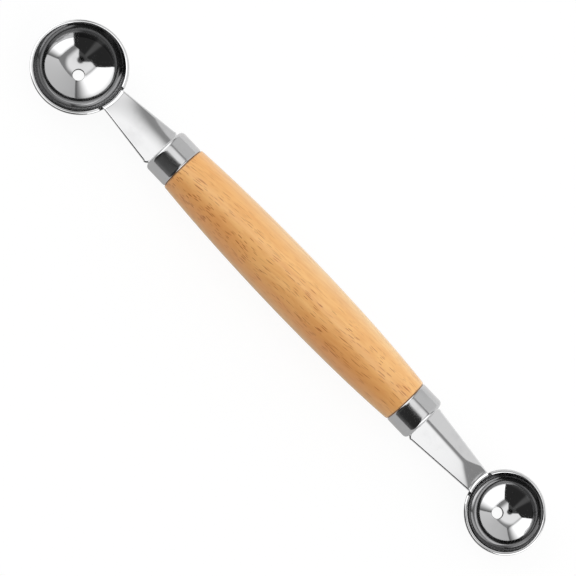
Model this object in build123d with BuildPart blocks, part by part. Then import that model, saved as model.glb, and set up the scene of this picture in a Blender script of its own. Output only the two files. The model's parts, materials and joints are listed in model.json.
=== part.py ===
from build123d import *

import os
from dataclasses import dataclass
from math import atan2, cos, degrees, hypot, radians, sin, sqrt, tan

# A double-ended melon baller, in millimetres. X runs along the handle, the large bowl at -X.
# Z is up and both bowls open upwards. The tool stands on the undersides of its two bowls, at z = 0.

# Handle
axis_height = 15.0  # handle axis above the undersides of the bowls
barrel_length = 95.2  # bare wood between the two ferrules
barrel_peak_radius = 9.5
barrel_large_end_radius = 7.85
barrel_small_end_radius = 7.65
shoulder_rounding = 0.45  # worn edge of the wood against each ferrule
bore_radius = 5.0  # blind hole that takes a tang and its glue
bore_floor_gap = 1.5  # glue beyond the tip of the tang
tenon_chamfer = 0.5

# Where the barrel is fattest and how full it is on each side of that, from the large end
barrel_peak_share = 0.45
large_quarter_share = 0.24
large_quarter_fullness_share = 0.75
small_quarter_share = 0.72
small_quarter_fullness_share = 0.85

# Ferrules
ferrule_length = 8.2
ferrule_radius = 7.53
ferrule_wall = 0.7
nose_rounding = 1.3  # drawn corner of the closed end
lip_rounding = 0.5  # softened edge against the wood
tenon_clearance = 0.05
tenon_end_gap = 0.3
slot_clearance = 0.15  # all round a tang in the nose of its ferrule

# Sheet of both scoops
sheet = 1.0
rim_rounding = 0.32
drain_radius = 1.8
scoop_pitch = 4.3  # degrees that each mouth turns away from the handle
roll_radius = 1.5  # top of the bend from a stem down into its bowl
root_land = 0.5  # flat sheet between that bend and the arched stem
stem_seat_gap = 0.1  # between a stem's shoulders and the nose of the ferrule
shoulder_radius = 1.4  # corners of a stem beside the ferrule
tang_width = 8.0
tang_length = 27.0  # beyond the nose of the ferrule
tang_tip_radius = 1.5
notch_radius = 0.4  # relief at each corner between a stem and its rim

# Large scoop
large_mouth_radius = 13.9
large_bowl_depth = 8.7
large_floor_angle = 37.0  # degrees, slope of the bowl where its floor turns into its wall
large_rim_angle = 70.8  # degrees, slope of its wall at the rim
large_reach = 35.3  # centre of the mouth to the nose of the ferrule
large_stem_step = 1.4  # top of the stem above the rim
large_neck_width = 8.4
large_shoulder_width = 13.3
large_stem_arch = 0.7  # crown of the stem above its edges, at the ferrule

# Small scoop
small_mouth_radius = 11.9
small_bowl_depth = 8.2
small_floor_angle = 44.0
small_rim_angle = 76.5
small_reach = 37.0
small_stem_step = 1.9
small_root_drop = 0.55  # from the stem's ridge down to the bend that it starts from
small_root_crown = 0.05  # crown of the stem at that bend
small_ridge_run = 6.2  # length of stem over which it rises to the ridge
small_neck_width = 8.1
small_shoulder_width = 13.0
small_stem_arch = 0.85

# How far a cutting shape runs past what it cuts
overrun = 2.0


@dataclass
class End:
    """One end of the tool: its sizes, and the places that follow from them."""

    name: str
    side: int  # -1 towards -X, +1 towards +X
    mouth_radius: float
    bowl_depth: float
    floor_angle: float
    rim_angle: float
    reach: float
    stem_step: float
    neck_width: float
    shoulder_width: float
    stem_arch: float
    root_drop: float = 0
    root_crown: float = 0
    ridge_run: float = 0  # 0 for a stem that is arched from edge to edge

    def __post_init__(self):
        pitch = radians(scoop_pitch)
        # Section of the bowl: the arc of its floor, and the arc of its wall that carries it on to the rim.
        # Both radii follow from the mouth, the depth and the two slopes.
        floor, rim = radians(self.floor_angle), radians(self.rim_angle)
        out, up = sin(rim) - sin(floor), cos(floor) - cos(rim)
        spread = sin(floor) * up - (1 - cos(floor)) * out
        self.floor_radius = (self.mouth_radius * up - self.bowl_depth * out) / spread
        self.wall_radius = (self.bowl_depth * sin(floor) - self.mouth_radius * (1 - cos(floor))) / spread
        # Heights of the two arcs' centres above the mouth, and how far out the wall's centre is
        self.floor_rise = self.floor_radius - self.bowl_depth
        self.wall_rise = self.floor_rise - (self.floor_radius - self.wall_radius) * cos(floor)
        self.wall_out = (self.floor_radius - self.wall_radius) * sin(floor)
        self.rim_radius = self.wall_out + sqrt((self.wall_radius + sheet) ** 2 - self.wall_rise**2)
        self.mouth_height = self.floor_radius + sheet - self.floor_rise * cos(pitch)

        # The mouth's normal, and the way along the rim plane to the handle
        self.normal = Vector(self.side * sin(pitch), 0, cos(pitch))
        self.inward = Vector(-self.side * cos(pitch), 0, sin(pitch))
        self.across = (0, -self.side, 0)

        # Bend from the stem into the bowl: its centre in the plane of symmetry, from the mouth's centre
        self.root_height = self.stem_step - self.root_drop
        self.bend_height = self.root_height - roll_radius
        fall = self.wall_rise - self.bend_height
        self.bend_reach = self.wall_out + sqrt((self.wall_radius + roll_radius) ** 2 - fall**2)
        self.bend_angle = -degrees(atan2(fall, self.bend_reach - self.wall_out))
        self.stem_start = self.bend_reach + root_land

        # Along the handle
        self.shoulder_x = self.side * barrel_length / 2
        self.nose_x = self.side * (barrel_length / 2 + ferrule_length)
        self.stem_end_x = self.nose_x + self.side * stem_seat_gap
        self.mouth_x = self.nose_x + self.side * self.reach
        self.far_reach = barrel_length / 2 + ferrule_length + self.reach + self.rim_radius * cos(pitch)
        self.stem_end = (self.reach - stem_seat_gap) / cos(pitch) + self.stem_step * tan(pitch)

    def shift(self, offset):
        """Move the places along the handle, to put the middle of the whole tool at x = 0."""
        self.shoulder_x += offset
        self.nose_x += offset
        self.stem_end_x += offset
        self.mouth_x += offset
        mouth = Vector(self.mouth_x, 0, self.mouth_height)
        self.mouth = mouth
        self.mouth_plane = Plane(origin=mouth, x_dir=self.inward, z_dir=self.normal)
        self.section_plane = Plane(origin=mouth, x_dir=self.inward, z_dir=self.inward.cross(self.normal))
        self.bowl_axis = Axis(mouth, self.normal)
        crown = mouth + self.inward * self.stem_end + self.normal * self.stem_step
        self.tang_height = crown.Z - sheet / 2
        self.tang_tip_x = self.nose_x - self.side * tang_length

    def half_width(self, along):
        """Half the width of the stem, tapering from the rim to the ferrule."""
        share = (along - self.rim_radius) / (self.stem_end - self.rim_radius)
        return (self.neck_width + (self.shoulder_width - self.neck_width) * share) / 2


large = End(
    name="large",
    side=-1,
    mouth_radius=large_mouth_radius,
    bowl_depth=large_bowl_depth,
    floor_angle=large_floor_angle,
    rim_angle=large_rim_angle,
    reach=large_reach,
    stem_step=large_stem_step,
    neck_width=large_neck_width,
    shoulder_width=large_shoulder_width,
    stem_arch=large_stem_arch,
)
small = End(
    name="small",
    side=1,
    mouth_radius=small_mouth_radius,
    bowl_depth=small_bowl_depth,
    floor_angle=small_floor_angle,
    rim_angle=small_rim_angle,
    reach=small_reach,
    stem_step=small_stem_step,
    neck_width=small_neck_width,
    shoulder_width=small_shoulder_width,
    stem_arch=small_stem_arch,
    root_drop=small_root_drop,
    root_crown=small_root_crown,
    ridge_run=small_ridge_run,
)
middle_x = (large.far_reach - small.far_reach) / 2
large.shift(middle_x)
small.shift(middle_x)
ends = (large, small)

handle_axis = Axis((0, 0, axis_height), (1, 0, 0))
ferrule_bore_radius = ferrule_radius - ferrule_wall
tenon_radius = ferrule_bore_radius - tenon_clearance
tenon_length = ferrule_length - ferrule_wall - tenon_end_gap


def square_plane(end, x, height=axis_height):
    """A plane square to the handle at x, facing the middle of the tool."""
    return Plane(origin=(x, 0, height), x_dir=end.across, z_dir=(-end.side, 0, 0))


def bowl_shell(end):
    """Half section of the bowl, from the pole to a rim with rounded edges."""
    outer_rim_angle = degrees(atan2(end.rim_radius - end.wall_out, end.wall_rise))
    with BuildSketch() as outline:
        with BuildLine():
            for thickness, rim_angle in ((0, end.rim_angle), (sheet, outer_rim_angle)):
                wall_sweep = rim_angle - end.floor_angle
                CenterArc((0, end.floor_rise), end.floor_radius + thickness, -90, end.floor_angle)
                wall_centre = (end.wall_out, end.wall_rise)
                CenterArc(wall_centre, end.wall_radius + thickness, end.floor_angle - 90, wall_sweep)
            Line((end.mouth_radius, 0), (end.rim_radius, 0))
            Line((0, -end.bowl_depth), (0, -end.bowl_depth - sheet))
        make_face()
        fillet(outline.vertices().group_by(Axis.Y)[-1], rim_rounding)
    return outline.sketch


def bent_wall(end):
    """Half section of the wall below the rim, its bend and the flat sheet that the stem starts from."""
    centre = (end.wall_out, end.wall_rise)
    bend_centre = (end.bend_reach, end.bend_height)
    below_rim = degrees(atan2(rim_rounding + overrun, end.wall_radius + sheet))
    start = end.rim_angle - 90 - below_rim
    land_end = hypot(end.stem_start, end.half_width(end.stem_start)) + overrun
    with BuildSketch() as outline:
        with BuildLine():
            wall_in = CenterArc(centre, end.wall_radius, start, end.bend_angle - start)
            wall_out = CenterArc(centre, end.wall_radius + sheet, start, end.bend_angle - start)
            CenterArc(bend_centre, roll_radius, end.bend_angle + 180, -90 - end.bend_angle)
            CenterArc(bend_centre, roll_radius - sheet, end.bend_angle + 180, -90 - end.bend_angle)
            for height in (end.root_height, end.root_height - sheet):
                Line((end.bend_reach, height), (land_end, height))
            Line((land_end, end.root_height), (land_end, end.root_height - sheet))
            Line(wall_in @ 0, wall_out @ 0)
        make_face()
    return outline.sketch


def stem_section(width, arch, is_ridged):
    """The stem's sheet cut across, its crown at the origin: an arch, or two flats with a ridge."""
    half = width / 2
    with BuildSketch() as outline:
        with BuildLine():
            for crown in (0, -sheet):
                if is_ridged:
                    Polyline((-half, crown - arch), (0, crown), (half, crown - arch))
                elif arch > 0:
                    ThreePointArc((-half, crown - arch), (0, crown), (half, crown - arch))
                else:
                    Line((-half, crown), (half, crown))
            for edge in (-half, half):
                Line((edge, -arch), (edge, -arch - sheet))
        make_face()
    return outline.sketch


def stem_root(end):
    """The part of the drawn wall and its bend that the trimming die leaves under the stem."""
    inner_edge = end.mouth_radius / 2
    outer_edge = end.stem_start
    with BuildPart() as root:
        with BuildSketch(end.section_plane):
            add(bent_wall(end))
        revolve(axis=end.bowl_axis)
        with BuildSketch(end.mouth_plane.offset(-end.bowl_depth)):
            with BuildLine():
                Polyline(
                    (inner_edge, -end.half_width(inner_edge)),
                    (outer_edge, -end.half_width(outer_edge)),
                    (outer_edge, end.half_width(outer_edge)),
                    (inner_edge, end.half_width(inner_edge)),
                    close=True,
                )
            make_face()
        extrude(amount=end.bowl_depth + end.stem_step + overrun, mode=Mode.INTERSECT)
    return root.part


def tang(end):
    """The flat tongue behind the stem, from the stem's end to its tip in the handle."""
    length = tang_length + stem_seat_gap
    with BuildPart() as tongue:
        with BuildSketch(square_plane(end, end.stem_end_x, end.tang_height)):
            Rectangle(tang_width, sheet)
        extrude(amount=length)
        tip_edges = tongue.edges().filter_by(Axis.Z).sort_by(Axis((0, 0, 0), (-end.side, 0, 0)))[-2:]
        fillet(tip_edges, tang_tip_radius)
    return tongue.part


def scoop(end):
    """One stamping: bowl with its drain hole, stem and tang."""
    root = stem_root(end)
    tongue = tang(end)
    is_ridged = end.ridge_run > 0
    start = end.mouth + end.inward * end.stem_start + end.normal * end.root_height
    start_plane = Plane(origin=start, x_dir=end.across, z_dir=end.inward)
    ridge_start = end.stem_start + end.ridge_run
    ridge = end.mouth + end.inward * ridge_start + end.normal * end.stem_step
    ridge_plane = Plane(origin=ridge, x_dir=end.across, z_dir=end.inward)
    ridge_width = 2 * end.half_width(ridge_start)
    end_plane = square_plane(end, end.stem_end_x, end.tang_height + sheet / 2)
    notch_out = end.neck_width / 2 + notch_radius / 2
    notch_along = sqrt(end.rim_radius**2 - notch_out**2)
    with BuildPart() as piece:
        with BuildSketch(start_plane):
            add(stem_section(2 * end.half_width(end.stem_start), end.root_crown, is_ridged))
        if is_ridged:
            with BuildSketch(ridge_plane):
                add(stem_section(ridge_width, end.stem_arch * ridge_width / end.shoulder_width, True))
        with BuildSketch(end_plane):
            add(stem_section(end.shoulder_width, end.stem_arch, is_ridged))
        loft(ruled=True)
        corners = piece.edges().filter_by(Axis.Z).group_by(Axis((0, 0, 0), (-end.side, 0, 0)))[-1]
        fillet(corners, shoulder_radius)
        add(root)
        with BuildSketch(end.section_plane):
            add(bowl_shell(end))
        revolve(axis=end.bowl_axis)
        add(tongue)
        with BuildSketch(end.mouth_plane):
            Circle(drain_radius)
        extrude(amount=-(end.bowl_depth + sheet + overrun), mode=Mode.SUBTRACT)
        with BuildSketch(end.mouth_plane.offset(-end.bowl_depth / 2)):
            with Locations((notch_along, notch_out), (notch_along, -notch_out)):
                Circle(notch_radius)
        extrude(amount=end.bowl_depth, mode=Mode.SUBTRACT)
    return piece


def ferrule(end):
    """A drawn cup on the tenon, with a slot in its nose for the tang."""
    nose = ferrule_length
    with BuildPart() as cup:
        outline_plane = Plane(
            origin=(end.shoulder_x, 0, axis_height), x_dir=(end.side, 0, 0), z_dir=(0, -end.side, 0)
        )
        with BuildSketch(outline_plane) as outline:
            with BuildLine():
                Polyline(
                    (0, ferrule_bore_radius),
                    (0, ferrule_radius),
                    (nose, ferrule_radius),
                    (nose, 0),
                    (nose - ferrule_wall, 0),
                    (nose - ferrule_wall, ferrule_bore_radius),
                    close=True,
                )
            make_face()
            top = outline.vertices().group_by(Axis.Y)[-1].sort_by(Axis.X)
            fillet(top[0], lip_rounding)
            fillet(top[-1], nose_rounding)
            inner_corner = outline.vertices().sort_by_distance((nose - ferrule_wall, ferrule_bore_radius))[0]
            fillet(inner_corner, nose_rounding - ferrule_wall)
        revolve(axis=handle_axis)
        with BuildSketch(square_plane(end, end.nose_x + end.side * overrun, end.tang_height)):
            Rectangle(tang_width + 2 * slot_clearance, sheet + 2 * slot_clearance)
        extrude(amount=overrun + ferrule_wall + tenon_end_gap / 2, mode=Mode.SUBTRACT)
    return cup


def tang_glue(end):
    """The cured glue that fills the bore round the tang."""
    mouth_x = end.shoulder_x + end.side * tenon_length
    with BuildPart() as filling:
        with BuildSketch(square_plane(end, mouth_x)):
            Circle(bore_radius)
        extrude(amount=abs(mouth_x - end.tang_tip_x) + bore_floor_gap)
        add(tang(end), mode=Mode.SUBTRACT)
    return filling


def barrel_point(share, fullness, end_radius):
    """A point of the barrel's outline, at a share of its length and of its swelling."""
    return (barrel_length * (share - 1 / 2), end_radius + fullness * (barrel_peak_radius - end_radius))


with BuildPart() as wooden_handle:
    half = barrel_length / 2
    tenon_tip = half + tenon_length
    with BuildSketch(Plane(origin=(middle_x, 0, axis_height), x_dir=(1, 0, 0), z_dir=(0, -1, 0))) as outline:
        with BuildLine():
            Spline(
                (-half, barrel_large_end_radius),
                barrel_point(large_quarter_share, large_quarter_fullness_share, barrel_large_end_radius),
                barrel_point(barrel_peak_share, 1, barrel_large_end_radius),
                barrel_point(small_quarter_share, small_quarter_fullness_share, barrel_small_end_radius),
                (half, barrel_small_end_radius),
            )
            Polyline(
                (-half, barrel_large_end_radius),
                (-half, tenon_radius),
                (-tenon_tip, tenon_radius),
                (-tenon_tip, 0),
                (tenon_tip, 0),
                (tenon_tip, tenon_radius),
                (half, tenon_radius),
                (half, barrel_small_end_radius),
            )
        make_face()
        for side, end_radius in ((-1, barrel_large_end_radius), (1, barrel_small_end_radius)):
            fillet(outline.vertices().sort_by_distance((side * half, end_radius))[0], shoulder_rounding)
            tenon_corner = outline.vertices().sort_by_distance((side * tenon_tip, tenon_radius))[0]
            chamfer(tenon_corner, tenon_chamfer)
    revolve(axis=handle_axis)
    for end in ends:
        bore_mouth_x = end.shoulder_x + end.side * tenon_length
        with BuildSketch(square_plane(end, bore_mouth_x)):
            Circle(bore_radius)
        extrude(amount=abs(bore_mouth_x - end.tang_tip_x) + bore_floor_gap, mode=Mode.SUBTRACT)

pieces = {"wooden_handle": wooden_handle}
for end in ends:
    pieces[f"{end.name}_ferrule"] = ferrule(end)
    pieces[f"{end.name}_scoop"] = scoop(end)
    pieces[f"{end.name}_tang_glue"] = tang_glue(end)

os.makedirs("parts", exist_ok=True)
for name, piece in pieces.items():
    piece.part.label = name
    export_step(piece.part, f"parts/{name}.step")
    print(name, len(piece.part.solids()), "solid", round(piece.part.volume, 1), "mm3")
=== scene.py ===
import json

import bmesh
import bpy
import numpy as np
from mathutils import Matrix, Vector

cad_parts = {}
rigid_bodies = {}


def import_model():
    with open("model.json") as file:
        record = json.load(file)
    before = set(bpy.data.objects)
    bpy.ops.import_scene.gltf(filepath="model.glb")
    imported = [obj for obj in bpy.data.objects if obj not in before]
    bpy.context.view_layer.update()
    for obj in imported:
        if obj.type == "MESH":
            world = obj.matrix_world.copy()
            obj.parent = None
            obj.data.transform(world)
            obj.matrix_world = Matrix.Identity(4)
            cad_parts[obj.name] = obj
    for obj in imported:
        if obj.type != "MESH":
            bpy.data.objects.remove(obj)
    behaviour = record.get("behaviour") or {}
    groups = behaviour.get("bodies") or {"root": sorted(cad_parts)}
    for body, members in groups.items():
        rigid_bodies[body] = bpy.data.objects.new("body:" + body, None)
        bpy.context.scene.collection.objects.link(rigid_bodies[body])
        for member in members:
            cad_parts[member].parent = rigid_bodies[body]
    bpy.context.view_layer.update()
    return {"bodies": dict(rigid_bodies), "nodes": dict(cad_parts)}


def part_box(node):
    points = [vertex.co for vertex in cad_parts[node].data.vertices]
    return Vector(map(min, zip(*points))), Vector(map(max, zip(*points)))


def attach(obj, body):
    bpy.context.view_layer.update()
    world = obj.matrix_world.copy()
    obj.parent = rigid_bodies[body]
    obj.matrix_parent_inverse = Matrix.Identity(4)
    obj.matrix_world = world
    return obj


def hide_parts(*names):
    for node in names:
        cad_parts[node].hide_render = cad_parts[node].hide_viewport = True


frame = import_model()
bodyName = next(iter(frame["bodies"]))

mm = 0.001  # the shapes are worked out in millimetres and put into their meshes in metres
mergeDistance = 2e-7  # metres between two points that are taken as one
tolerance = 1e-9  # for places across the stem that have to be equal

# What the frame says: where the handle's axis lies, and where each ferrule and tang ends along it
ends = {}
for name, side in (("large", -1), ("small", 1)):
    low, high = (np.array(corner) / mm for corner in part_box(f"{name}_ferrule"))
    ends[name] = {
        "side": side,
        "shoulderX": high[0] if side < 0 else low[0],
        "noseX": low[0] if side < 0 else high[0],
        "ferruleRadius": (high[2] - low[2]) / 2,
        "tangTipX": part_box(f"{name}_scoop")[side < 0][0] / mm,
    }
axisHeight = sum(corner[2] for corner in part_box("large_ferrule")) / 2 / mm
print("frame loaded, handle axis at", round(axisHeight, 2), "mm")


def gridFaces(ids):
    # Quads between the neighbours of a grid of vertex numbers
    corners = ids[:-1, :-1], ids[1:, :-1], ids[1:, 1:], ids[:-1, 1:]
    return np.stack(corners, -1).reshape(-1, 4)


def makePiece(name, grids, node, materials, regions=None):
    # One closed mesh from grids of points in millimetres that share their edges: the shared points are
    # merged. Each grid wears the material whose number stands at its place in regions.
    points, faces, worn, count = [], [], [], 0
    for grid, region in zip(grids, regions or [0] * len(grids)):
        ids = np.arange(grid.shape[0] * grid.shape[1]).reshape(grid.shape[:2]) + count
        count += ids.size
        points.append(grid.reshape(-1, 3))
        faces.append(gridFaces(ids))
        worn.append(np.full(len(faces[-1]), region))
    points, faces, worn = np.concatenate(points) * mm, np.concatenate(faces), np.concatenate(worn)
    mesh = bpy.data.meshes.new(name)
    mesh.vertices.add(len(points))
    mesh.vertices.foreach_set("co", points.ravel())
    mesh.loops.add(faces.size)
    mesh.loops.foreach_set("vertex_index", faces.ravel())
    mesh.polygons.add(len(faces))
    mesh.polygons.foreach_set("loop_start", np.arange(len(faces)) * 4)
    mesh.polygons.foreach_set("material_index", worn)
    mesh.update(calc_edges=True)
    work = bmesh.new()
    work.from_mesh(mesh)
    bmesh.ops.remove_doubles(work, verts=work.verts, dist=mergeDistance)
    bmesh.ops.recalc_face_normals(work, faces=work.faces)
    work.to_mesh(mesh)
    openEdges = sum(not edge.is_manifold for edge in work.edges)
    work.free()
    mesh.shade_smooth()
    for material in materials:
        mesh.materials.append(material)
    piece = bpy.data.objects.new(name, mesh)
    bpy.context.scene.collection.objects.link(piece)
    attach(piece, bodyName)
    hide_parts(node)
    print(name, len(mesh.polygons), "faces,", openEdges, "open edges")


def fine(count, power=1.0):
    # Shares from 0 to 1, closer together towards both ends as the power grows
    share = np.linspace(-1, 1, count)
    return (np.sign(share) * (1 - (1 - np.abs(share)) ** power) + 1) / 2


def arc(centre, radius, start, stop, count):
    # Points of a circle in the profile's own plane, angles in degrees
    angle = np.radians(np.linspace(start, stop, count))
    return np.stack([centre[0] + radius * np.cos(angle), centre[1] + radius * np.sin(angle)], -1)


sheet = {
    "thickness": 1.0,
    "drainRadius": 1.8,
    "pitch": 4.3,  # degrees that each mouth turns away from the handle
    "rollRadius": 1.5,  # top of the bend between stem and bowl
    "edgeInset": 0.47,  # where the rounding of a sheared edge starts
    "rimInset": (0.15, 0.47),  # the same for a rim, inside and outside
    "holeInset": 0.12,
    "roundedShare": 0.46,  # most of the edge's width that one rounding takes
    "lowEasing": 0.4,  # how far the lower arris is worn towards its chord
    "notchRadius": 0.45,
    "notchFoot": 225.0,  # degrees round the notch's circle, where the wall above it starts
    "notchLead": 0.15,  # length over which a notch's outer corner turns into the rim
    "shoulderCorner": 1.4,
    "runInCorner": 0.12,  # rounding between a stem's crown and its run-in
    "seatGap": 0.1,  # between a stem's shoulders and its ferrule
    "tangWidth": 8.0,
    "tangTipCorner": 1.5,
    "tangStart": 0.1,  # first row of the tang beyond the shoulders
}
scoops = {
    "large": {
        "mouthRadius": 13.9,
        "bowlDepth": 8.7,
        "floorAngle": 37.0,  # degrees, slope of the bowl where its floor turns into its wall
        "rimAngle": 70.8,  # degrees, slope of its wall at the rim
        "mirrorBeyond": 4.2,  # degrees of the wall that still wear the floor's steel, before the wall's painted shade starts
        "reach": 35.3,  # centre of the mouth to the nose of the ferrule
        "stemStep": 1.4,  # top of the stem above the mouth
        "neckWidth": 8.4,
        "shoulderWidth": 13.3,
        "crown": 0.7,  # fall from the stem's crown to its edges at the ferrule
        "crownSoftness": 1.2,  # a low value gives a ridge
        "crownWidening": 0.0,  # how much softer the crown is at the bowl
        "crownPlace": 0.0,  # share of the half width by which it lies off the middle
        "crownStart": 0.0,  # share of the crown that the stem already has at the bowl
        "runIn": 0.0,  # fall from the crown to the flat that the stem starts from
        "runInLength": 6.0,
    },
    "small": {
        "mouthRadius": 11.9,
        "bowlDepth": 8.2,
        "floorAngle": 44.0,
        "rimAngle": 76.5,
        "mirrorBeyond": 2.5,
        "reach": 37.0,
        "stemStep": 1.9,
        "neckWidth": 8.1,
        "shoulderWidth": 13.0,
        "crown": 0.85,
        "crownSoftness": 0.10,
        "crownWidening": 0.10,
        "crownPlace": 0.09,
        "crownStart": 0.65,
        "runIn": 0.55,
        "runInLength": 6.2,
    },
}
scoopMesh = {  # how many points the grids of a scoop have along each of its stretches
    "floorRows": (32, 1.3),  # how many, and how much closer together they are towards both ends
    "wallRows": (27, 1.6),
    "notch": 9,
    "notchLead": 4,
    "rim": 99,
    "rimPower": 1.25,  # how much closer together its points are towards the notch
    "neckRows": 7,
    "bendRows": 14,
    "stemRows": (90, 1.15),
    "corner": 10,
    "tangRows": 24,
    "tangColumns": 49,
    "shoulderColumns": 8,
    "edgeSteps": 5,
    "holeSteps": 3,
}


def scoopPlaces(name):
    # Everything about a scoop that follows from its own sizes and from the frame
    s = {**sheet, **scoops[name], **ends[name]}
    s["tilt"] = np.radians(s["pitch"])
    # Both radii of the bowl's section follow from its mouth, its depth and the two slopes
    floor, rim = np.radians(s["floorAngle"]), np.radians(s["rimAngle"])
    out, up = np.sin(rim) - np.sin(floor), np.cos(floor) - np.cos(rim)
    spread = np.sin(floor) * up - (1 - np.cos(floor)) * out
    s["floorRadius"] = (s["mouthRadius"] * up - s["bowlDepth"] * out) / spread
    s["wallRadius"] = (s["bowlDepth"] * np.sin(floor) - s["mouthRadius"] * (1 - np.cos(floor))) / spread
    s["floorMiddle"] = s["floorRadius"] - s["bowlDepth"]
    s["wallMiddle"] = s["floorMiddle"] - (s["floorRadius"] - s["wallRadius"]) * np.cos(floor)
    s["wallOut"] = (s["floorRadius"] - s["wallRadius"]) * np.sin(floor)
    s["wallStart"] = floor
    s["rim"] = s["wallOut"] + np.sqrt((s["wallRadius"] + s["thickness"]) ** 2 - s["wallMiddle"] ** 2)
    s["bendHeight"] = s["stemStep"] - s["runIn"] - s["rollRadius"]
    fall = s["wallMiddle"] - s["bendHeight"]
    s["bendReach"] = s["wallOut"] + np.sqrt((s["wallRadius"] + s["rollRadius"]) ** 2 - fall**2)
    s["bendPolar"] = np.pi / 2 - np.arctan2(fall, s["bendReach"] - s["wallOut"])
    s["stemEnd"] = (s["reach"] - s["seatGap"]) / np.cos(s["tilt"]) + s["stemStep"] * np.tan(s["tilt"])
    height = s["floorRadius"] + s["thickness"] - s["floorMiddle"] * np.cos(s["tilt"])
    s["mouth"] = np.array([s["noseX"] + s["side"] * s["reach"], 0, height])
    s["inward"] = np.array([-s["side"] * np.cos(s["tilt"]), 0, np.sin(s["tilt"])])
    s["normal"] = np.array([s["side"] * np.sin(s["tilt"]), 0, np.cos(s["tilt"])])
    return s


def facePlaces(s, under):
    # The same for one face of the sheet, under = 0 for the polished inside and 1 for the outside
    f = {**s, "drop": under * s["thickness"], "rimInset": s["rimInset"][under]}
    f["floorRadius"] += f["drop"]
    f["wallRadius"] += f["drop"]
    f["bendRadius"] = s["rollRadius"] - f["drop"]
    f["edgePolar"] = np.arccos(s["wallMiddle"] / f["wallRadius"])
    f["wide"] = s["notchRadius"] + s["edgeInset"]
    # Columns across the stem from -1 to 1, two of which run on as the sides of the tang
    tangShare = (s["tangWidth"] / 2 - s["edgeInset"]) / (s["shoulderWidth"] / 2 - s["shoulderCorner"])
    outer = -1 + (1 - tangShare) * np.linspace(0, 1, scoopMesh["shoulderColumns"] + 1)[:-1]
    inner = tangShare * np.linspace(-1, 1, scoopMesh["tangColumns"])
    f["columns"] = np.concatenate([outer, inner, -outer[::-1]])
    f["tangShare"] = tangShare
    return f


def stemHalf(s, along):
    # Half the stem's width, which grows evenly from the rim to the shoulders
    share = (along - s["rim"]) / (s["stemEnd"] - s["rim"])
    return (s["neckWidth"] + (s["shoulderWidth"] - s["neckWidth"]) * share) / 2


def stemTop(s, along, across):
    # Height of the stem's top: a crown that falls to both edges as the root of a square plus a softness,
    # less where a flat run-in rises from the bend, the two joined by a rounded corner
    share = np.clip((along - s["bendReach"]) / (s["stemEnd"] - s["bendReach"]), 0, 1)
    amount = s["crown"] * (s["crownStart"] + (1 - s["crownStart"]) * share)
    place = across / stemHalf(s, along) - s["crownPlace"]
    soft = s["crownSoftness"] + s["crownWidening"] * (1 - share)
    fall = (np.sqrt(place**2 + soft**2) - soft) / (np.sqrt(1 + soft**2) - soft) * amount
    lead = s["runIn"] * (1 - (along - s["bendReach"]) / s["runInLength"])
    joint = s["runInCorner"] * np.clip(along - s["bendReach"], 0, 1)
    return s["stemStep"] - (fall + lead + np.sqrt((fall - lead) ** 2 + joint**2) - joint) / 2


# A scoop's own axes: a towards the handle, b across it, c out of the mouth
def turnedPoints(ring, height, azimuth):
    # Points about the bowl's axis
    return np.stack([ring * np.cos(azimuth), ring * np.sin(azimuth), height + 0 * azimuth], -1)


def bowlSection(f, polar):
    # Ring and height at a slope angle: a floor arc, and a wall arc that starts with the same slope
    isFloor = polar < f["wallStart"]
    floorRing, wallRing = f["floorRadius"] * np.sin(polar), f["wallOut"] + f["wallRadius"] * np.sin(polar)
    floorHeight = f["floorMiddle"] - f["floorRadius"] * np.cos(polar)
    wallHeight = f["wallMiddle"] - f["wallRadius"] * np.cos(polar)
    return np.where(isFloor, floorRing, wallRing), np.where(isFloor, floorHeight, wallHeight)


def bowlPoints(f, polar, azimuth):
    # The bowl by slope angle and azimuth: its section turned about its axis
    return turnedPoints(*bowlSection(f, polar), azimuth)


def sideAzimuth(f, ring):
    # Azimuth at which a ring meets the stem's side line, by two rounds of arc sine of half width over ring
    half = stemHalf(f, ring)
    half = stemHalf(f, np.sqrt(ring**2 - half**2))
    return np.arcsin(half / ring)


def rimLines(f):
    # The rim of one half from the notch's foot to the far side, by slope angle and azimuth, first where its
    # rounding starts and then at its sharp edge: a circle round the notch, its outer corner, the rim.
    # Lengths along and above the rim turn into angles by the ring's and the wall's radius.
    notch, wide, inset = f["notchRadius"], f["wide"], f["rimInset"]
    ring = bowlSection(f, f["edgePolar"])[0]
    side = sideAzimuth(f, ring)
    last = 2 * np.pi - np.arcsin(inset / wide)
    turn = np.linspace(np.radians(f["notchFoot"]), last, scoopMesh["notch"])
    corner = np.linspace(0, 1, scoopMesh["notchLead"] + 1)[1:]
    cornerTurn = last + (2 * np.pi - last) * corner
    rim = (np.linspace(0, 1, scoopMesh["rim"] + 1) ** scoopMesh["rimPower"])[1:]
    far = (np.pi - side) * ring
    inX = np.concatenate([notch + wide * np.cos(turn), notch + wide * np.cos(last) + f["notchLead"] * corner])
    outX = notch + notch * np.cos(np.concatenate([turn, cornerTurn]))
    inX = np.concatenate([inX, inX[-1] + (far - inX[-1]) * rim])
    outX = np.concatenate([outX, outX[-1] + (far - outX[-1]) * rim])
    inLevel = np.concatenate([wide * np.sin(turn), -inset + 0 * corner, -inset + 0 * rim])
    outLevel = np.concatenate([notch * np.sin(turn), notch * np.sin(cornerTurn), 0 * rim])
    return [(f["edgePolar"] + level / f["wallRadius"], side + x / ring)
            for x, level in ((inX, inLevel), (outX, outLevel))]


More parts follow.
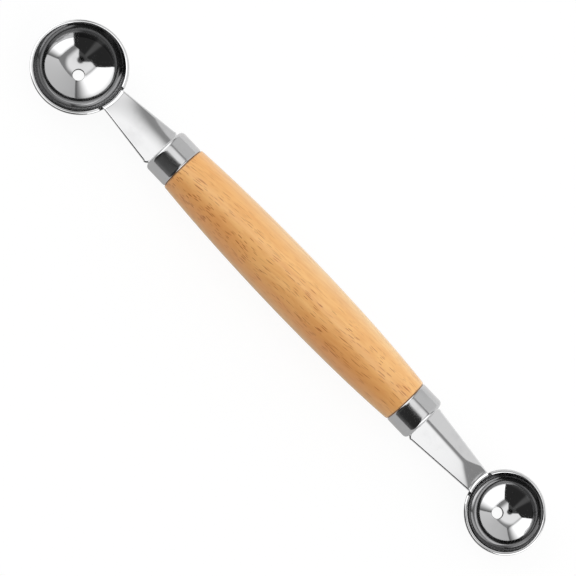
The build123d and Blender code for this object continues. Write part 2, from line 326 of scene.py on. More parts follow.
def neckGrid(f, foot):
    # The wall above the rim and its bend into the stem, turned about the bowl's axis between the stem's
    # side lines. Below the rim its sides bulge as the two notches' circles. Also gives its sharp side
    # line and how many of its rows lie below the rim.
    notch, wide, radius = f["notchRadius"], f["wide"], f["wallRadius"]
    cornerPolar = rimLines(f)[0][0][0]
    wallPolar = np.linspace(cornerPolar, f["bendPolar"], scoopMesh["neckRows"])
    bend = np.linspace(np.pi / 2 + f["bendPolar"], np.pi / 2, scoopMesh["bendRows"] + 1)[1:]
    wallRing, wallHeight = bowlSection(f, wallPolar)
    ring = np.concatenate([wallRing, f["bendReach"] + f["bendRadius"] * np.cos(bend)])
    height = np.concatenate([wallHeight, f["bendHeight"] + f["bendRadius"] * np.sin(bend)])
    level = np.concatenate([radius * (wallPolar - f["edgePolar"]), radius + 0 * bend])
    low = level < 0
    inward = np.where(low, notch - np.sqrt(np.maximum(wide**2 - level**2, 0)), -f["edgeInset"])
    outward = np.where(low, notch - np.sqrt(np.maximum(notch**2 - (level * notch / wide) ** 2, 0)), 0.0)
    side = sideAzimuth(f, ring)
    neck = turnedPoints(ring[:, None], height[:, None], (side + inward / ring)[:, None] * f["columns"])
    neck[0] = foot
    ring[low], height[low] = bowlSection(f, f["edgePolar"] + level[low] * notch / wide / radius)
    return neck, turnedPoints(ring, height, side + outward / ring), low.sum()


def planLine(straight, halfWidth, end, corner, inset):
    # A side line in plan at an inset from the sharp one, then a quarter circle round its corner at the end
    sweep = np.radians(np.linspace(0, 90, scoopMesh["corner"]))
    along = np.concatenate([straight, end[0] - corner + (corner - inset) * np.sin(sweep)])
    return along, np.concatenate([halfWidth - inset, end[1] - corner + (corner - inset) * np.cos(sweep)])


def stemGrid(f, foot):
    # Rows across the stem that start as the bend's last row and straighten on their way to the shoulders,
    # at the height of its crowned top. Also gives its sharp side line in plan.
    corner, end = f["shoulderCorner"], (f["stemEnd"], f["shoulderWidth"] / 2)
    start = f["bendReach"] * np.cos(sideAzimuth(f, f["bendReach"]))
    straight = start + (end[0] - corner - start) * fine(*scoopMesh["stemRows"])[1:-1]
    inA, inB = planLine(straight, stemHalf(f, straight), end, corner, f["edgeInset"])
    share = ((inA - start) / (inA[-1] - start))[:, None]
    a = foot[:, 0] + (inA[-1] - foot[:, 0]) * share
    b = foot[:, 1] * (inB[:, None] / foot[-1, 1])
    grid = np.stack([a, b, stemTop(f, a, b) - f["drop"]], -1)
    return np.concatenate([foot[None], grid]), planLine(straight, stemHalf(f, straight), end, corner, 0)


def tangPoints(f, x, b):
    # Points of the tang, which is level along the handle, by their distances from its root
    run = np.array([np.cos(f["tilt"]), 0, -np.sin(f["tilt"])])
    rise = np.array([np.sin(f["tilt"]), 0, np.cos(f["tilt"])])
    root = np.array([f["stemEnd"], 0, f["stemStep"]])
    return root + x[..., None] * run + b[..., None] * np.array([0, 1, 0]) - f["drop"] * rise


def scoopFace(f):
    # One face of the sheet as nine grids that share their edges, its outline where the rounding starts
    # and at the sharp edge, the same for its hole, and where the notches lie along that outline
    columns, flip = f["columns"], np.array([1, -1, 1])
    (inPolar, inAzimuth), (outPolar, outAzimuth) = rimLines(f)
    holePolar = np.arcsin((f["drainRadius"] + f["holeInset"]) / f["floorRadius"])
    mirrorEnd = f["wallStart"] + np.radians(f["mirrorBeyond"])
    floorRows = fine(*scoopMesh["floorRows"])[:, None]
    wallRows = fine(*scoopMesh["wallRows"])[:, None]

    def bowlGrids(edge, azimuth):
        # From the drain hole to the end of the mirror, then up the wall to the edge
        floor = bowlPoints(f, holePolar + (mirrorEnd - holePolar) * floorRows, azimuth + 0 * floorRows)
        return floor, bowlPoints(f, mirrorEnd + (edge - mirrorEnd) * wallRows, azimuth + 0 * wallRows)

    floorSide, wallSide = bowlGrids(inPolar, inAzimuth)
    floorFront, wallFront = bowlGrids(inPolar[0], columns * inAzimuth[0])
    neck, neckOut, lowRows = neckGrid(f, wallFront[-1])
    stem, (stemOutA, stemOutB) = stemGrid(f, neck[-1])

    inner = np.abs(columns) <= f["tangShare"] + tolerance
    across = columns[inner] / f["tangShare"]
    length = abs(f["tangTipX"] - f["noseX"]) + f["seatGap"]
    tangEnd, tip = (length, f["tangWidth"] / 2), f["tangTipCorner"]
    straight = np.linspace(f["tangStart"], length - tip, scoopMesh["tangRows"])
    tangInX, tangInB = planLine(straight, tangEnd[1] + 0 * straight, tangEnd, tip, f["edgeInset"])
    tangOutX, tangOutB = planLine(straight, tangEnd[1] + 0 * straight, tangEnd, tip, 0)
    tang = tangPoints(f, tangInX[:, None] + 0 * across, tangInB[:, None] * across)
    tang = np.concatenate([stem[-1:, inner], tang])

    def halfEdge(hand):
        # The outline of one half in order, from the bowl's far side to the middle of the tang's tip, each
        # point with its sharp corner. The hand is 1 for the half at +b and -1 for the other.
        mirror, last = np.array([1, hand, 1]), -1 if hand > 0 else 0
        shoulder = stem[-1, columns * hand >= f["tangShare"] - tolerance][::-hand]
        tipEdge = tang[-1, across * hand >= 0][::-hand]

        def onStem(a, b):
            return np.stack([a, b, stemTop(f, a, b) - f["drop"]], -1)

        edgeIn = [(wallSide * mirror)[-1][::-1], neck[1:, last], stem[1:, last], shoulder[1:],
                  tang[1:, last], tipEdge[1:]]
        edgeOut = [
            bowlPoints(f, outPolar, outAzimuth)[::-1] * mirror, neckOut[1:] * mirror,
            onStem(stemOutA, hand * stemOutB),
            onStem(f["stemEnd"] + 0 * shoulder[1:, 1], shoulder[1:, 1]),
            tangPoints(f, tangOutX, hand * tangOutB),
            tangPoints(f, length + 0 * tipEdge[1:, 1], tipEdge[1:, 1]),
        ]
        return np.concatenate(edgeIn), np.concatenate(edgeOut)

    outline = [np.concatenate([near, far[-2::-1]]) for near, far in zip(halfEdge(1), halfEdge(-1))]
    azimuth = np.concatenate([inAzimuth[::-1], columns[-2:0:-1] * inAzimuth[0], -inAzimuth])
    sharpPolar = np.arcsin(f["drainRadius"] / f["floorRadius"])
    hole = [bowlPoints(f, polar + 0 * azimuth, azimuth) for polar in (holePolar, sharpPolar)]
    grids = [floorSide, floorSide * flip, floorFront, wallSide, wallSide * flip, wallFront, neck, stem, tang]
    rimCount = len(inPolar)
    notchSpan = rimCount - scoopMesh["notch"] - scoopMesh["notchLead"], rimCount + lowRows - 1
    return grids, outline, hole, notchSpan


def roundedEdge(top, low, steps, eased=0.0):
    # The edge of a sheet: a curve from the top face round the top corner, a flat, and a curve round the
    # low corner to the low face. Each curve is a Bezier of the second degree with the sharp corner as its
    # middle point, which the low corner leaves towards its chord as it is eased.
    (topIn, topCorner), (lowIn, lowCorner) = top, low
    flat = lowCorner - topCorner
    width = np.linalg.norm(flat, axis=1, keepdims=True)
    topBack = np.linalg.norm(topCorner - topIn, axis=1, keepdims=True)
    lowBack = np.linalg.norm(lowCorner - lowIn, axis=1, keepdims=True)
    topOut = topCorner + flat * np.minimum(topBack / width, sheet["roundedShare"])
    lowOut = lowCorner - flat * np.minimum(lowBack / width, sheet["roundedShare"])
    lowCorner = lowCorner + eased * ((lowOut + lowIn) / 2 - lowCorner)
    t = np.linspace(0, 1, steps + 1)[:, None, None]
    topCurve = (1 - t) ** 2 * topIn + 2 * t * (1 - t) * topCorner + t**2 * topOut
    lowCurve = (1 - t) ** 2 * lowOut + 2 * t * (1 - t) * lowCorner + t**2 * lowIn
    return np.concatenate([topCurve, lowCurve])


def makeScoop(name):
    s = scoopPlaces(name)
    topGrids, topOutline, topHole, (notchStart, notchStop) = scoopFace(facePlaces(s, 0))
    lowGrids, lowOutline, lowHole, _ = scoopFace(facePlaces(s, 1))
    edge = roundedEdge(topOutline, lowOutline, scoopMesh["edgeSteps"], sheet["lowEasing"])
    last = edge.shape[1] - 1
    cuts = [0, notchStart, notchStop, last - notchStop, last - notchStart, last]
    edges = [edge[:-2, start:stop + 1] for start, stop in zip(cuts, cuts[1:])]
    lowArris, hole = edge[-3:], roundedEdge(topHole, lowHole, scoopMesh["holeSteps"])
    # The floor of the bowl is drawn bright, and its wall is painted darker as shade, with faint draw rings. The
    # outer edge is ground, and its two notches, its lower arris and the hole are painted dark as shade. The rest
    # is a mirror.
    mirror, drawn, shadedWall, ground, paintedDarkEdge = range(len(scoopSteels))
    regions = [drawn] * 3 + [shadedWall] * 3 + [mirror] * 3 + [mirror] * len(lowGrids)
    regions += [ground, paintedDarkEdge, ground, paintedDarkEdge, ground, paintedDarkEdge, paintedDarkEdge]
    turnTo = np.stack([s["inward"], [0, 1, 0], s["normal"]])
    grids = [s["mouth"] + grid @ turnTo for grid in [*topGrids, *lowGrids, *edges, lowArris, hole]]
    makePiece(f"{name}_scoop_steel", grids, f"{name}_scoop", scoopSteels, regions)


ferrule = {
    "wall": 0.7,
    "noseRounding": 1.3,
    "lipDepth": 0.5,
    "lipLength": 0.9,
    "slotClearance": 0.15,
    "slotSquareness": 14,  # power of the slot's superellipse
    "sides": 288,
    "noseRows": (14, 1.6),  # how many, and how much closer together towards both ends
}


def slotOutline(angle, halfWidth, halfHeight):
    # A box with rounded corners as a superellipse, by the angle round its centre
    cos, sin, power = np.cos(angle), np.sin(angle), ferrule["slotSquareness"]
    reach = (np.abs(cos / halfWidth) ** power + np.abs(sin / halfHeight) ** power) ** (-1 / power)
    return reach * cos, reach * sin


def makeFerrule(name):
    # A cup by its profile: lip, outside, nose, slot, inside. It is turned round the axis, and on the two
    # faces of the nose each ring is a blend from the circle to the slot's outline.
    s = {**ferrule, **scoopPlaces(name)}
    length, radius = abs(s["noseX"] - s["shoulderX"]), s["ferruleRadius"]
    wall, nose = s["wall"], s["noseRounding"]
    lip = np.array([s["lipLength"], s["lipDepth"]])
    bore = radius - wall
    outside = np.concatenate([
        [[0, bore]], [0, radius] + lip * (arc((1, -1), 1, 180, 90, 12)),
        np.stack([np.linspace(lip[0], length - nose, 14)[1:-1], np.full(12, radius)], -1),
        arc((length - nose, radius - nose), nose, 90, 0, 18),
    ])
    inside = np.concatenate([
        arc((length - nose, radius - nose), nose - wall, 0, 90, 8),
        np.stack([np.linspace(length - nose, 0, 8)[1:], np.full(7, bore)], -1),
    ])
    angle = np.linspace(0, 2 * np.pi, s["sides"] + 1)
    rootHeight = s["mouth"][2] + s["stemEnd"] * s["inward"][2] + s["stemStep"] * s["normal"][2]
    halfWidth, halfHeight = (size / 2 + s["slotClearance"] for size in (s["tangWidth"], s["thickness"]))
    slotY, slotZ = slotOutline(angle, halfWidth, halfHeight)
    slotZ = slotZ + rootHeight - s["thickness"] / 2 - axisHeight

    def rings(profile):
        x = s["shoulderX"] + s["side"] * profile[:, :1] + 0 * angle
        return np.stack([x, profile[:, 1:] * np.cos(angle), axisHeight + profile[:, 1:] * np.sin(angle)], -1)

    def noseFace(profilePoint):
        # A flat face: rings from the profile's last circle to the slot
        share = fine(*ferrule["noseRows"])[:, None]
        ringY, ringZ = profilePoint[1] * np.cos(angle), profilePoint[1] * np.sin(angle)
        x = s["shoulderX"] + s["side"] * profilePoint[0] + 0 * share * angle
        y, z = ringY + (slotY - ringY) * share, ringZ + (slotZ - ringZ) * share
        return np.stack([x, y, axisHeight + z], -1)

    front, back = noseFace(outside[-1]), noseFace(inside[0])
    grids = [rings(outside), front, np.stack([front[-1], back[-1]]), back, rings(inside)]
    makePiece(f"{name}_ferrule_steel", grids, f"{name}_ferrule", [ferruleSteel])


handle = {
    "peakRadius": 9.38,
    "largeEndRadius": 7.7,
    "smallEndRadius": 7.56,
    "shoulderRounding": 0.45,
    "shares": (0.0, 0.24, 0.45, 0.72, 1.0),  # places along the barrel, from the large end
    "fullness": (0.0, 0.75, 1.0, 0.85, 0.0),  # how much of its swelling the barrel has there
    "tenonClearance": 0.05,
    "tenonEndGap": 0.3,
    "tenonChamfer": 0.5,
    "boreRadius": 5.0,
    "boreFloorGap": 1.5,
    "rings": 190,
    "ringGap": 0.1,  # between the last ring of the barrel and the rounding of its shoulder
    "sides": 256,
}


def makeHandle():
    # A profile turned round the axis, from the floor of one bore over both tenons and the barrel to the
    # other floor. The barrel is the curve of the fourth degree through its five stated radii.
    h = handle
    start, stop = ends["large"]["shoulderX"], ends["small"]["shoulderX"]
    shares = np.array(h["shares"])
    endRadius = np.where(shares < 0.5, h["largeEndRadius"], h["smallEndRadius"])
    radii = endRadius + np.array(h["fullness"]) * (h["peakRadius"] - endRadius)
    barrel = np.polynomial.Polynomial.fit(shares, radii, len(shares) - 1)
    tenon = ends["large"]["ferruleRadius"] - ferrule["wall"] - h["tenonClearance"]
    tenonLength = abs(ends["large"]["noseX"] - start) - ferrule["wall"] - h["tenonEndGap"]
    rounding, chamfer, bore = h["shoulderRounding"], h["tenonChamfer"], h["boreRadius"]

    def endProfile(name, x, radius):
        side = ends[name]["side"]
        floor = ends[name]["tangTipX"] - side * h["boreFloorGap"]
        tip = x + side * tenonLength
        corners = [(floor, 0), (floor, bore), (tip, bore), (tip, tenon - chamfer),
                   (tip - side * chamfer, tenon), (x, tenon), (x, radius - rounding)]
        counts = (8, 20, 4, 3, 8, 4)
        runs = [np.linspace(a, b, count)[:-1] for a, b, count in zip(corners, corners[1:], counts)]
        middle = np.array([x - side * rounding, radius - rounding])
        turn = np.radians(np.linspace(0, 84, 8))
        runs.append(middle + rounding * np.stack([side * np.cos(turn), np.sin(turn)], -1))
        return np.concatenate(runs)

    first = endProfile("large", start, h["largeEndRadius"])
    last = endProfile("small", stop, h["smallEndRadius"])[::-1]
    x = np.linspace(first[-1, 0] + h["ringGap"], last[0, 0] - h["ringGap"], h["rings"])
    middle = np.stack([x, barrel((x - start) / (stop - start))], -1)
    x, radius = np.concatenate([first, middle, last]).T
    angle = np.linspace(0, 2 * np.pi, h["sides"] + 1)[:, None]
    grid = np.stack([x + 0 * angle, radius * np.cos(angle), axisHeight + radius * np.sin(angle)], -1)
    makePiece("beech_handle", [grid], "wooden_handle", [beechWood])


class Wire:
    # A value's socket in a node tree: a sum, product or comparison of wires adds its Math node
    def __init__(self, net, socket):
        self.net, self.socket = net, socket

    def maths(self, operation, *values):
        return self.net.add("ShaderNodeMath", {"operation": operation}, dict(enumerate(values)))

    def __add__(self, other): return self.maths("ADD", self, other)
    def __radd__(self, other): return self.maths("ADD", other, self)
    def __sub__(self, other): return self.maths("SUBTRACT", self, other)
    def __rsub__(self, other): return self.maths("SUBTRACT", other, self)
    def __mul__(self, other): return self.maths("MULTIPLY", self, other)
    def __rmul__(self, other): return self.maths("MULTIPLY", other, self)
    def __truediv__(self, other): return self.maths("DIVIDE", self, other)
    def __rtruediv__(self, other): return self.maths("DIVIDE", other, self)
    def __pow__(self, other): return self.maths("POWER", self, other)
    def __rpow__(self, other): return self.maths("POWER", other, self)
    def __gt__(self, other): return self.maths("GREATER_THAN", self, other)
    def __lt__(self, other): return self.maths("LESS_THAN", self, other)
    def __abs__(self): return self.maths("ABSOLUTE", self)

    def least(self, other): return self.maths("MINIMUM", self, other)
    def most(self, other): return self.maths("MAXIMUM", self, other)

    def rises(self, low, high):
        # 0 below low, 1 above high, smooth between
        settings = {"interpolation_type": "SMOOTHSTEP"}
        return self.net.add("ShaderNodeMapRange", settings, {0: self, 1: low, 2: high, 3: 0.0, 4: 1.0})


class Net:
    # A node tree that is written as expressions
    def __init__(self, tree):
        self.tree = tree
        tree.nodes.clear()

    def add(self, kind, settings=None, values=None, output=0):
        node = self.tree.nodes.new(kind)
        for key, value in (settings or {}).items():
            setattr(node, key, value)
        for key, value in (values or {}).items():
            socket = node.inputs[key]
            if isinstance(value, Wire):
                self.tree.links.new(value.socket, socket)
            elif socket.type == "RGBA" and len(value) == 3:
                socket.default_value = (*value, 1)
            else:
                socket.default_value = value
        return None if output is None else Wire(self, node.outputs[output])

    def mix(self, share, first, second):
        # Colours: the first where the share is 0, the second where it is 1
        settings = {"data_type": "RGBA", "blend_type": "MIX"}
        return self.add("ShaderNodeMix", settings, {0: share, 6: first, 7: second}, 2)

    def choose(self, share, first, second):
        # The same for plain values
        return self.add("ShaderNodeMix", {"data_type": "FLOAT"}, {0: share, 2: first, 3: second})

    def parts(self, vector):
        node = self.add("ShaderNodeSeparateXYZ", None, {0: vector}).socket.node
        return [Wire(self, out) for out in node.outputs]

    def join(self, x, y, z):
        return self.add("ShaderNodeCombineXYZ", None, {0: x, 1: y, 2: z})

    def noise(self, vector, scale, detail=2.0, roughness=0.5):
        values = {"Vector": vector, "Scale": scale, "Detail": detail, "Roughness": roughness}
        return self.add("ShaderNodeTexNoise", None, values)

    def bump(self, height, strength, distance):
        return self.add("ShaderNodeBump", None, {"Strength": strength, "Distance": distance, "Height": height})

    def surface(self, kind, values):
        # The last shader of the tree, wired to its output
        shader = self.add(kind, None, values)
        output = "ShaderNodeOutputWorld" if kind == "ShaderNodeBackground" else "ShaderNodeOutputMaterial"
        self.add(output, None, {"Surface": shader}, None)


def newMaterial(name):
    material = bpy.data.materials.new(name)
    material.use_nodes = True
    net = Net(material.node_tree)
    place = net.add("ShaderNodeTexCoord", None, None, 3)  # Object coordinates, in metres
    return material, net, place


principled = "ShaderNodeBsdfPrincipled"

# Each finish of the steel: colour, roughness, the hairlines' scale along each axis, and how much they darken it
steelFinishes = {
    "mirror_steel": ((0.75, 0.75, 0.755), 0.06, (60.0, 2600.0, 2600.0), 0.0),
    "drawn_steel": ((0.62, 0.62, 0.625), 0.06, (60.0, 2600.0, 2600.0), 0.0),
    # painted shade: the bowl's wall, much darker than its steel, with faint draw rings in its banding
    "painted_shade_wall_steel": ((0.30, 0.30, 0.303), 0.10, (80.0, 80.0, 1800.0), 0.6),
    "ground_steel": ((0.88, 0.88, 0.885), 0.07, (60.0, 2600.0, 2600.0), 0.0),
    # painted shade: near-black steel for the notches, the lower arris and the hole's edge
    "painted_dark_edge_steel": ((0.09, 0.09, 0.09), 0.30, (60.0, 60.0, 2600.0), 0.0),
    "ferrule_polish": ((0.60, 0.60, 0.605), 0.11, (90.0, 2600.0, 2600.0), 0.0),
}
steelWear = {
    "dull": (0.16, 0.16, 0.162),
    "bandingFade": (0.4, 0.65),
    "smudgeScale": 160.0,
    "smudgeFade": (0.45, 0.75),
    "smudgeColour": 0.1,
    "smudgeGloss": 0.05,
    "scratchFade": (0.5, 0.8),
    "scratchGloss": 0.03,
    "scratchDepth": 0.06,
    "waveScale": 90.0,
    "waveDepth": 0.6,
    "bump": (0.1, 0.00005),  # strength, and distance in metres
}


def steelMaterial(name):
    # Stainless steel: cloudy smudges in its gloss, a slight waviness, and faint hairlines that are long
    # where their scale is low
    colour, roughness, grain, banding = steelFinishes[name]
    w = steelWear
    material, net, place = newMaterial(name)
    stretched = net.join(*(part * scale for part, scale in zip(net.parts(place), grain)))
    hairlines = net.noise(stretched, 1.0, 3.0, 0.6)
    smudge = net.noise(place, w["smudgeScale"], 3.0, 0.55).rises(*w["smudgeFade"])
    darker = smudge * w["smudgeColour"] + hairlines.rises(*w["bandingFade"]) * banding
    gloss = roughness + w["smudgeGloss"] * smudge + w["scratchGloss"] * hairlines.rises(*w["scratchFade"])
    height = net.noise(place, w["waveScale"], 1.0, 0.4) * w["waveDepth"] + hairlines * w["scratchDepth"]
    values = {"Base Color": net.mix(darker, colour, w["dull"]), "Metallic": 1.0, "Roughness": gloss}
    net.surface(principled, {**values, "Normal": net.bump(height, *w["bump"])})
    return material


beech = {
    "light": (1.0, 0.615, 0.25),
    "dark": (0.86, 0.45, 0.15),
    "deep": (0.73, 0.30, 0.085),
    "ray": (0.34, 0.06, 0.004),
    # painted sheen: the pale tone laid on the back upper side and the side opposite it
    "pale": (0.92, 0.92, 0.64),
    "endGrain": (0.30, 0.14, 0.05),
    "lean": 0.09,  # how far the grain climbs across the handle for its length
    "wander": 0.003,  # metres
    # Share of each tone where it is strongest
    # painted shade: the deeper tone on the front upper side and the side opposite it
    "heart": 0.8,
    "fibres": 0.45,
    "streaks": 0.24,
    # painted sheen: share of the pale tone
    "paintedSheen": 0.18,
    "handleEnds": 0.8,
    # Scale of each pattern along the handle and across it, for the flecks with a shift as well
    "bandScale": (9, 150),
    "broadScale": (14, 60),
    "fibreScale": (130, 1500),
    "streakScale": (30, 420),
    "patchScale": (45, 120),
    "flecks": ((130.0, 2000.0, 0.0), (165.0, 2400.0, 0.37), (210.0, 2800.0, 0.71)),
    "fleckEdge": (0.19, 0.32),
    "fleckChance": (0.4, 0.85),
    "patchLow": 0.55,  # what is left of the rays between their patches
    "raysLost": 0.85,  # what the sides with painted sheen lack of them
    # How far the sides with painted shade and painted sheen lie upwards and across, and the metres between which
    # they set in
    "heartSide": (0.57, 0.82),
    "shadeFrom": (0.0052, 0.0090),
    "shadeWaver": 0.008,
    "sheenAim": (0.42, 0.91),
    "sheenFrom": (0.006, 0.0098),
    "raysLostFrom": (0.0034, 0.0078),
    "endFade": (0.05, 0.45),  # millimetres from the barrel's ends
    "bump": (0.3, 0.0001),
}


def beechMaterial():
    # Turned and oiled beech: soft bands along the grain, fine fibres, and short dark rays in stretched cells
    material, net, place = newMaterial("oiled_beech")
    x, y, z = net.parts(place)
    wander = (net.noise(place, 30.0, 2.0) - 0.5) * beech["wander"]
    across, deep = y - x * beech["lean"] + wander, z + wander

    def grain(along, around, detail, roughness=0.5):
        # Noise drawn out along the handle, by its scales along and across it
        return net.noise(net.join(x * along, across * around, deep * around), 1.0, detail, roughness)

    fibres = grain(*beech["fibreScale"], 3.0, 0.65)
    colour = net.mix(grain(*beech["bandScale"], 3.0).rises(0.3, 0.75), beech["light"], beech["dark"])
    # Painted shade: a deeper tone on two opposite sides, one the front upper side where less light falls. Painted
    # sheen: two more sides are paler and have fewer rays, one the back upper side where the coat catches light
    above = z - axisHeight * mm
    (shadeUp, shadeOver), (sheenUp, sheenOver) = beech["heartSide"], beech["sheenAim"]
    waver = (grain(*beech["broadScale"], 1.0) - 0.5) * beech["shadeWaver"]
    heart = abs(above * shadeUp - y * shadeOver) + waver
    paintedSheen = abs(above * sheenUp + y * sheenOver)
    streaks = grain(*beech["streakScale"], 2.0)
    # painted shade: deeper on the front upper side and the side opposite it
    colour = net.mix(heart.rises(*beech["shadeFrom"]) * beech["heart"], colour, beech["deep"])
    colour = net.mix(fibres.rises(0.4, 0.7) * beech["fibres"], colour, beech["deep"])
    colour = net.mix(streaks.rises(0.45, 0.7) * beech["streaks"], colour, beech["deep"])
    rays = 0.0
    for along, around, shift in beech["flecks"]:
        cells = net.join(x * along + shift, across * around, deep * around)
        values = {"Vector": cells, "Scale": 1.0, "Randomness": 1.0}
        near = net.add("ShaderNodeTexVoronoi", {"feature": "F1"}, values)
        chosen = net.parts(Wire(net, near.socket.node.outputs["Color"]))[0].rises(*beech["fleckChance"])
        rays = (1 - near.rises(*beech["fleckEdge"])) * chosen + rays
    patch = grain(*beech["patchScale"], 2.0).rises(0.35, 0.7)
    rays = rays.least(1.0) * (beech["patchLow"] + (1 - beech["patchLow"]) * patch)
    rays = rays * (1 - beech["raysLost"] * paintedSheen.rises(*beech["raysLostFrom"]))
    colour = net.mix(rays, colour, beech["ray"])
    # painted sheen: paler on the back upper side and the side opposite it
    colour = net.mix(paintedSheen.rises(*beech["sheenFrom"]) * beech["paintedSheen"], colour, beech["pale"])
    start, stop = ends["large"]["shoulderX"], ends["small"]["shoulderX"]
    fromEnd = (stop - start) / 2 - abs(x / mm - (start + stop) / 2)
    colour = net.mix((1 - fromEnd.rises(*beech["endFade"])) * beech["handleEnds"], colour, beech["endGrain"])
    normal = net.bump(fibres * 0.4 - rays * 0.3, *beech["bump"])
    values = {"Base Color": colour, "Roughness": 0.5 + 0.1 * fibres + 0.1 * rays, "Normal": normal}
    net.surface(principled, {**values, "Specular IOR Level": 0.3, "Coat Weight": 0.8, "Coat Roughness": 0.16})
    return material


glue = {"dark": (0.62, 0.45, 0.2), "light": (0.72, 0.6, 0.36), "cloudScale": 400.0, "bubbleScale": 1500.0}


def glueMaterial():
    # Cured epoxy: amber, clouded, with small bubbles
    material, net, place = newMaterial("cured_glue")
    clouds = net.noise(place, glue["cloudScale"], 3.0)
    bubbles = net.add("ShaderNodeTexVoronoi", None, {"Vector": place, "Scale": glue["bubbleScale"]})
    values = {"Base Color": net.mix(clouds, glue["dark"], glue["light"]), "Roughness": 0.25 + 0.2 * clouds}
    net.surface(principled, {**values, "Normal": net.bump(bubbles, 0.3, 0.0001)})
    return material


*scoopSteels, ferruleSteel = (steelMaterial(name) for name in steelFinishes)
beechWood, curedGlue = beechMaterial(), glueMaterial()
print("materials made")

for name in ends:
    makeScoop(name)
    makeFerrule(name)
makeHandle()
for name in ends:
    node = frame["nodes"][f"{name}_tang_glue"]
    node.data.materials.clear()
    node.data.materials.append(curedGlue)
print("pieces made")

studio = {
    "domeRadius": 1.1,
    "ceilingX": 0.67,  # half sizes of the tent's ceiling for a height of 1
    "ceilingBack": 0.50,
    "ceilingFront": 0.45,
    "lean": 0.2,  # how far the left wall closes in towards the back
    # Light of each face, and the shares of the way to a seam between which it fades
    "ceiling": 1.20,
    "ceilingEdge": 0.25,  # what is left of it near its seams
    "ceilingFade": (0.5, 0.95),
    "leftFade": 0.7,  # how much sooner or later the ceiling fades towards each side
    "rightFade": 1.2,
    "leftSeam": 0.3,
    "leftSeamFade": (0.85, 1.0),
    "topJoint": (0.97, 1.0),
    "sideWall": 1.8,
    "sideEdge": 0.12,
    "sideFade": (0.3, 1.0),
    "sideTop": 0.45,  # what the side walls lose at the ceiling
    "sideTopFade": (0.78, 1.0),
    "sideFoot": 0.45,  # what is left of them at the floor
    "sideFootFade": (0.0, 0.25),
    "sideJoint": (0.98, 1.0),
    "backWall": 0.74,
    "backRight": 0.3,  # how much brighter it is on the right
    "backSeam": 0.3,
    "backSeamFade": (0.93, 1.0),
    "front": 0.03,
    "frontFoot": 0.08,
    "frontFootFade": (0.02, 0.2),
    "streak": 0.08,
    "streakX": -0.03,
    "streakFade": (0.02, 0.09),
    "wedge": (0.07, 0.12),
    "wedgeSpread": 1.1,
    "lensPlace": (0.0, -0.20),
    "lensSize": 0.13,
    "lensFade": (0.7, 1.2),  # shares of its size
    "dark": 0.93,  # what the wedge and the lens take away
    "corner": 0.4,  # what the corners at the back lack
    "cornerFade": (0.93, 0.99),
    "onMatt": 1.22,  # strength of the light that reaches matt surfaces
}


def tentLight(net, direction):
    # The light of a tent by direction: the ray meets the ceiling or the wall of a box, whichever is
    # nearest. Side walls and ceiling glow and fade towards their seams, the back wall is grey, and the
    # open front is dark.
    t = studio
    x, y, z = net.parts(direction)
    up = z.most(0.001)
    left = (y * t["lean"] - x) / (t["ceilingX"] - t["lean"] * t["ceilingFront"])
    right = x / t["ceilingX"]
    back, front = y / t["ceilingBack"], y / -t["ceilingFront"]
    alongX, alongY = left.most(right), back.most(front)
    farthest = up.most(alongX.most(alongY))
    # 1 on the face that is met, and less the further its seam is
    top, side, behind = (share / farthest for share in (up, alongX, back))

    sideways = (left * t["leftFade"]).most(right * t["rightFade"]) / farthest
    fromMiddle = (sideways ** 2.0 + behind.most(0.0) ** 2.0) ** 0.5
    ceiling = t["ceiling"] * (1 - (1 - t["ceilingEdge"]) * fromMiddle.rises(*t["ceilingFade"]))
    ceiling = ceiling * (1 - t["leftSeam"] * (left / farthest).rises(*t["leftSeamFade"]))
    # The front of the ceiling opens towards the lens in a wedge
    lensX, lensY = t["lensPlace"]
    behindLens = lensY - y
    wedge = (1 - (abs(x - lensX) - behindLens * t["wedgeSpread"]).rises(*t["wedge"])) * (behindLens > 0)
    ceiling = ceiling * (1 - t["dark"] * wedge)

    sideWall = t["sideWall"] * (1 - (1 - t["sideEdge"]) * behind.rises(*t["sideFade"]))
    sideWall = sideWall * (1 - t["sideTop"] * top.rises(*t["sideTopFade"]))
    sideWall = sideWall * (t["sideFoot"] + (1 - t["sideFoot"]) * top.rises(*t["sideFootFade"]))
    backWall = t["backWall"] * (1 - t["backSeam"] * side.rises(*t["backSeamFade"]))
    backWall = backWall * (1 + t["backRight"] * x / farthest)
    streak = 1 - abs(x / alongY - t["streakX"]).rises(*t["streakFade"])
    opening = t["front"] + t["streak"] * streak + t["frontFoot"] * (1 - top.rises(*t["frontFootFade"]))

    light = net.choose(front > back, backWall, opening)
    light = net.choose(side.rises(*t["sideJoint"]), light, sideWall)
    light = net.choose(top.rises(*t["topJoint"]), light, ceiling)
    fromLens = ((x - lensX) ** 2.0 + (y - lensY) ** 2.0) ** 0.5
    lens = (1 - fromLens.rises(*(t["lensSize"] * share for share in t["lensFade"]))) * (z > 0)
    corner = side.least(behind).rises(*t["cornerFade"])
    return light * (1 - t["dark"] * lens) * (1 - t["corner"] * corner)


def rayKinds(net):
    # 1 for the rays that show the plain white background, and 1 for those that leave polished metal
    rays = net.add("ShaderNodeLightPath").socket.node.outputs
    seen, through, glossy = (Wire(net, rays[f"Is {kind} Ray"]) for kind in ("Camera", "Transmission", "Glossy"))
    return seen + through, glossy


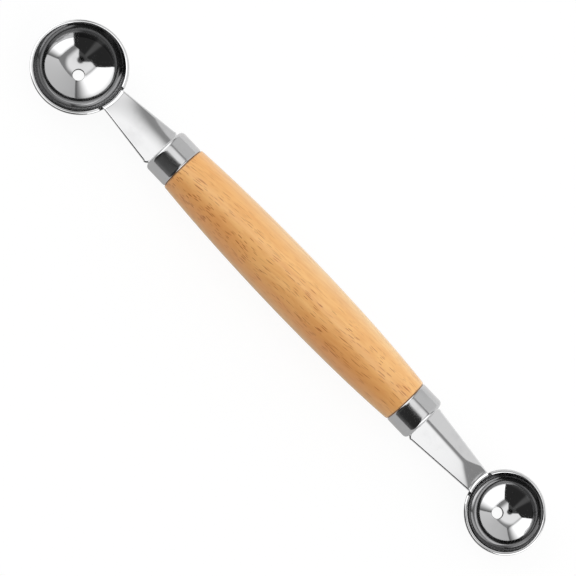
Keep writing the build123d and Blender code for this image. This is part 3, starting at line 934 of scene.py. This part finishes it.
def makeTent():
    # The tent stands at a distance for polished surfaces, as a dome that only their reflections show, and
    # lights the matt ones as the world. The camera sees plain white.
    world = bpy.data.worlds.new("light_tent")
    bpy.context.scene.world = world
    world.use_nodes = True
    world.cycles_visibility.glossy = False
    net = Net(world.node_tree)
    light = tentLight(net, net.add("ShaderNodeTexCoord")) * studio["onMatt"]
    strength = net.choose(rayKinds(net)[0], light, 1.0)
    net.surface("ShaderNodeBackground", {"Color": (1, 1, 1), "Strength": strength})

    mesh = bpy.data.meshes.new("tent_dome")
    work = bmesh.new()
    bmesh.ops.create_icosphere(work, subdivisions=5, radius=studio["domeRadius"])
    work.to_mesh(mesh)
    work.free()
    dome = bpy.data.objects.new("tent_dome", mesh)
    bpy.context.scene.collection.objects.link(dome)
    dome.visible_camera = dome.visible_diffuse = dome.visible_transmission = dome.visible_shadow = False
    material, net, place = newMaterial("tent_cloth")
    direction = net.add("ShaderNodeVectorMath", {"operation": "NORMALIZE"}, {0: place})
    net.surface("ShaderNodeEmission", {"Color": (1, 1, 1), "Strength": tentLight(net, direction)})
    material.cycles.emission_sampling = "NONE"
    mesh.materials.append(material)


sweep = {
    "halfSize": 3.0,
    "drop": 0.0002,  # how far it lies under the tool
    "light": (0.9, 0.9, 0.9),
    "dark": (0.86, 0.86, 0.86),
    "glow": 1.02,
    "share": 0.9,  # how much of the background is that glow, and the rest keeps the shadow
    "inMetal": 0.45,  # the same for what polished metal shows of it
    "frontShade": 0.33,  # how much darker its front half is in polished metal
    "frontFade": (-0.012, 0.004),  # metres of y
    "weaveScale": 900.0,
    "weave": 0.1,
}


def makeFloor():
    # A pale sweep under the tool that keeps a faint shadow
    size = sweep["halfSize"]
    mesh = bpy.data.meshes.new("floor")
    mesh.from_pydata([(-size, -size, 0), (size, -size, 0), (size, size, 0), (-size, size, 0)], [], [(0, 1, 2, 3)])
    floor = bpy.data.objects.new("floor", mesh)
    bpy.context.scene.collection.objects.link(floor)
    floor.location.z = -sweep["drop"]
    material, net, place = newMaterial("white_sweep")
    shown, glossy = rayKinds(net)
    shade = glossy * (1 - net.parts(place)[1].rises(*sweep["frontFade"])) * sweep["frontShade"]
    colour = net.mix(net.noise(place, sweep["weaveScale"]) * sweep["weave"], sweep["light"], sweep["dark"])
    paint = net.add("ShaderNodeBsdfDiffuse", None, {"Color": net.mix(shade, colour, (0.0, 0.0, 0.0))})
    strength = sweep["glow"] * (1 - shade)
    glow = net.add("ShaderNodeEmission", None, {"Color": (1, 1, 1), "Strength": strength})
    share = (shown + sweep["inMetal"] * glossy) * sweep["share"]
    net.surface("ShaderNodeMixShader", {0: share, 1: paint, 2: glow})
    mesh.materials.append(material)


camera = {
    "distance": 0.7787,
    "tilt": 13.3,  # degrees from straight down, towards the front
    "sideways": -0.0040,
    "aim": (-0.00036, -0.00199, 0.015),
    "turn": 45.48,  # degrees between the handle and the picture's level
    "lens": 164.3,
    "sensor": 36.0,
    "clip": (0.01, 20.0),
}


def makeCamera():
    tilt, turn, distance = np.radians(camera["tilt"]), np.radians(camera["turn"]), camera["distance"]
    height = axisHeight * mm + distance * np.cos(tilt)
    place = Vector((camera["sideways"], -distance * np.sin(tilt), height))
    back = (place - Vector(camera["aim"])).normalized()
    right = Vector((-np.sin(turn), np.cos(turn), 0)).cross(back).normalized()
    up = back.cross(right)
    data = bpy.data.cameras.new("camera")
    data.lens, data.sensor_width = camera["lens"], camera["sensor"]
    data.clip_start, data.clip_end = camera["clip"]
    eye = bpy.data.objects.new("camera", data)
    bpy.context.scene.collection.objects.link(eye)
    eye.matrix_world = Matrix.Translation(place) @ Matrix((right, up, back)).transposed().to_4x4()
    bpy.context.scene.camera = eye


makeTent()
makeFloor()
makeCamera()
bpy.context.scene.view_settings.view_transform = "Standard"
print("studio made")
